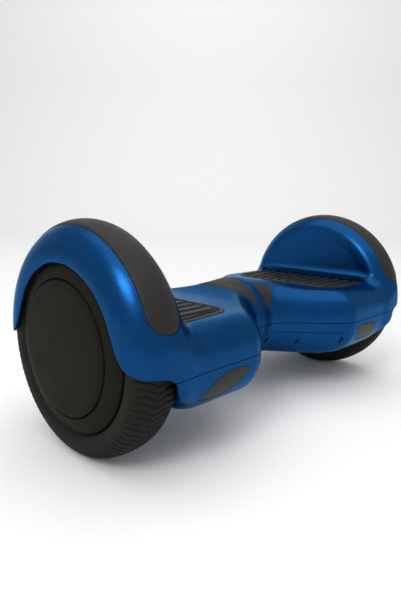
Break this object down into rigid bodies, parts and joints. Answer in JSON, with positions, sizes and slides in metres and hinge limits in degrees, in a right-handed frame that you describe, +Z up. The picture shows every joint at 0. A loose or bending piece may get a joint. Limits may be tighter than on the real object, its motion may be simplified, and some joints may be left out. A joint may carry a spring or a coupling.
{
  "type": "self balancing hoverboard",
  "caption": "Self balancing board: two platform halves twist on a central pivot, each with a hub-motor wheel under a rounded fender and a ribbed foot pad.",
  "frame": {"origin": "on the floor under the middle of the board, midway between the tyres", "axes": "+X along the axle towards the right half, -Y is the front with the lamp windows, +Z up"},
  "size_m": [0.574, 0.2754, 0.2655],
  "materials": {
    "blue_shell": "satin metallic blue lacquer over moulded plastic",
    "black_trim": "fine matt moulded grain",
    "hub_black": "smooth matt black",
    "pad_rubber": "matt moulded rubber",
    "lamp_lens": "smoked lamp window, unlit",
    "tyre": "matt tyre rubber",
    "steel": "turned steel",
    "cast_aluminium": "sand cast, machined faces",
    "bronze": "sintered bronze",
    "motor_windings": "enamelled copper on laminated steel",
    "circuit_board": "solder mask",
    "battery_wrap": "heat-shrink sleeve"
  },
  "bodies": {
    "left_half": {"left_upper_shell": "blue_shell", "left_lower_shell": "blue_shell", "left_fender_bumper": "black_trim", "left_neck_trim": "black_trim", "left_front_lens": "lamp_lens", "left_chassis_frame": "cast_aluminium", "left_axle_clamp": "cast_aluminium", "left_clamp_screws": "steel", "left_axle": "steel", "left_stator": "motor_windings", "left_sensor_board": "circuit_board", "left_case_screws": "steel", "pivot_tube": "steel", "pivot_retaining_ring": "steel", "neck_seal": "pad_rubber", "main_board": "circuit_board", "power_switch": "black_trim"},
    "right_half": {"right_upper_shell": "blue_shell", "right_lower_shell": "blue_shell", "right_fender_bumper": "black_trim", "right_neck_trim": "black_trim", "right_front_lens": "lamp_lens", "right_chassis_frame": "cast_aluminium", "right_axle_clamp": "cast_aluminium", "right_clamp_screws": "steel", "right_axle": "steel", "right_stator": "motor_windings", "right_sensor_board": "circuit_board", "right_case_screws": "steel", "pivot_bushes": "bronze", "pivot_stop_pin": "steel", "battery_pack": "battery_wrap", "charge_inlet": "black_trim"},
    "left_wheel": {"left_wheel_rim": "black_trim", "left_magnet_ring": "steel", "left_wheel_bearings": "steel", "left_hub_cover": "hub_black", "left_tyre": "tyre", "left_valve_stem": "pad_rubber"},
    "right_wheel": {"right_wheel_rim": "black_trim", "right_magnet_ring": "steel", "right_wheel_bearings": "steel", "right_hub_cover": "hub_black", "right_tyre": "tyre", "right_valve_stem": "pad_rubber"},
    "left_pad": {"left_foot_pad": "pad_rubber", "left_pad_plungers": "pad_rubber"},
    "right_pad": {"right_foot_pad": "pad_rubber", "right_pad_plungers": "pad_rubber"},
    "power_button": {"power_button": "black_trim"},
    "charge_cap": {"charge_cap": "pad_rubber"}
  },
  "joints": [
    {"name": "centre_pivot", "type": "hinge", "parent": "left_half", "child": "right_half", "pos_m": [0, 0, 0.12], "axis": [1, 0, 0], "range_deg": [-10, 10]},
    {"name": "left_wheel_spin", "type": "hinge", "parent": "left_half", "child": "left_wheel", "pos_m": [-0.25, 0, 0.127], "axis": [1, 0, 0], "continuous": true},
    {"name": "left_pad_press", "type": "slide", "parent": "left_half", "child": "left_pad", "axis": [0, 0, -1], "range_m": [0, 0.0012], "stiffness_N_per_m": 4000, "springref_m": -0.0006},
    {"name": "right_wheel_spin", "type": "hinge", "parent": "right_half", "child": "right_wheel", "pos_m": [0.25, 0, 0.127], "axis": [1, 0, 0], "continuous": true},
    {"name": "right_pad_press", "type": "slide", "parent": "right_half", "child": "right_pad", "axis": [0, 0, -1], "range_m": [0, 0.0012], "stiffness_N_per_m": 4000, "springref_m": -0.0006},
    {"name": "power_button_press", "type": "slide", "parent": "left_half", "child": "power_button", "axis": [0, -1, 0], "range_m": [0, 0.0015], "stiffness_N_per_m": 400, "springref_m": -0.001},
    {"name": "charge_cap_flap", "type": "hinge", "parent": "right_half", "child": "charge_cap", "pos_m": [0.15, 0.1349, 0.1115], "axis": [1, 0, 0], "range_deg": [0, 110]}
  ]
}
